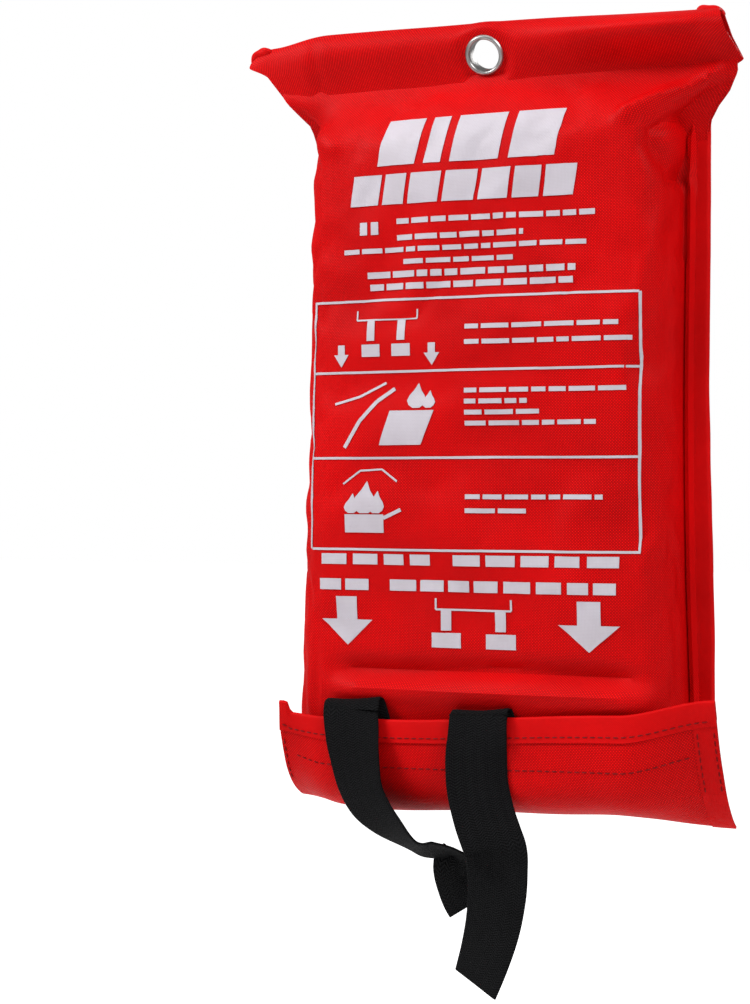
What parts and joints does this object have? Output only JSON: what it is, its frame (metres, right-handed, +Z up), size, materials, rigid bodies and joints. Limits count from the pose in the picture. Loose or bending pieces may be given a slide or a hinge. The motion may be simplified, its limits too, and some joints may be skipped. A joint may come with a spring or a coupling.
{
  "type": "fire blanket",
  "caption": "Folded glass-cloth fire blanket in a soft red wall pouch with a hanging eyelet, a hook-and-loop bottom flap and black webbing pull tapes",
  "frame": {"origin": "centre of the hanging eyelet, in the middle of the header's thickness", "axes": "+X is to the right as seen from the front, +Y points into the wall, +Z is up; the front faces -Y"},
  "size_m": [0.218, 0.0371, 0.3987],
  "materials": {
    "pouch_cloth": "red coated oxford cloth, satin",
    "pouch_trim": "folded red cloth hem, satin",
    "hook_and_loop": "red hook and loop tape, matt pile",
    "eyelet_metal": "nickel-plated brass, polished",
    "glass_cloth": "off-white woven glass fibre cloth",
    "tape_webbing": "black polyester webbing, matt"
  },
  "bodies": {
    "pouch": {"front_panel": "pouch_cloth", "back_panel": "pouch_cloth", "header_band": "pouch_trim", "eyelet_barrel": "eyelet_metal", "eyelet_washer": "eyelet_metal", "left_seam_binding": "pouch_trim", "right_seam_binding": "pouch_trim", "mouth_hem": "pouch_trim", "loop_strip": "hook_and_loop"},
    "flap_base": {"flap_base": "pouch_cloth", "flap_base_left_hem": "pouch_trim", "flap_base_right_hem": "pouch_trim"},
    "flap": {"flap_panel": "pouch_cloth", "flap_top_hem": "pouch_trim", "flap_left_hem": "pouch_trim", "flap_right_hem": "pouch_trim", "hook_strip": "hook_and_loop"},
    "blanket": {"folded_blanket": "glass_cloth", "left_tape_root": "tape_webbing", "right_tape_root": "tape_webbing"},
    "left_tape": {"left_pull_tape": "tape_webbing"},
    "right_tape": {"right_pull_tape": "tape_webbing"}
  },
  "joints": [
    {"name": "blanket_release", "type": "slide", "parent": "pouch", "child": "blanket", "axis": [0, 0, -1], "range_m": [0, 0.25], "deforming": ["flap_base", "flap_base_left_hem", "flap_base_right_hem", "flap_panel", "flap_top_hem", "flap_left_hem", "flap_right_hem", "hook_strip"]},
    {"name": "flap_open", "type": "hinge", "parent": "pouch", "child": "flap_base", "pos_m": [0, 0.0137, -0.3083], "axis": [1, 0, 0], "range_deg": [0, 103.4]},
    {"name": "flap_unfold", "type": "hinge", "parent": "flap_base", "child": "flap", "pos_m": [0, -0.0172, -0.301], "axis": [1, 0, 0], "range_deg": [0, 76.8]},
    {"name": "left_tape_swing", "type": "hinge", "parent": "blanket", "child": "left_tape", "pos_m": [-0.052, -0.0193, -0.27025], "axis": [-1, 0, 0], "range_deg": [0, 120]},
    {"name": "right_tape_swing", "type": "hinge", "parent": "blanket", "child": "right_tape", "pos_m": [0.0045, -0.0193, -0.27025], "axis": [-1, 0, 0], "range_deg": [0, 120]}
  ],
  "couplings": [
    {"joint": "flap_open", "follows": "blanket_release", "rad_per_m": 7.2117},
    {"joint": "flap_unfold", "follows": "blanket_release", "rad_per_m": 5.3547},
    {"joint": "right_tape_swing", "follows": "left_tape_swing", "ratio": 1}
  ]
}
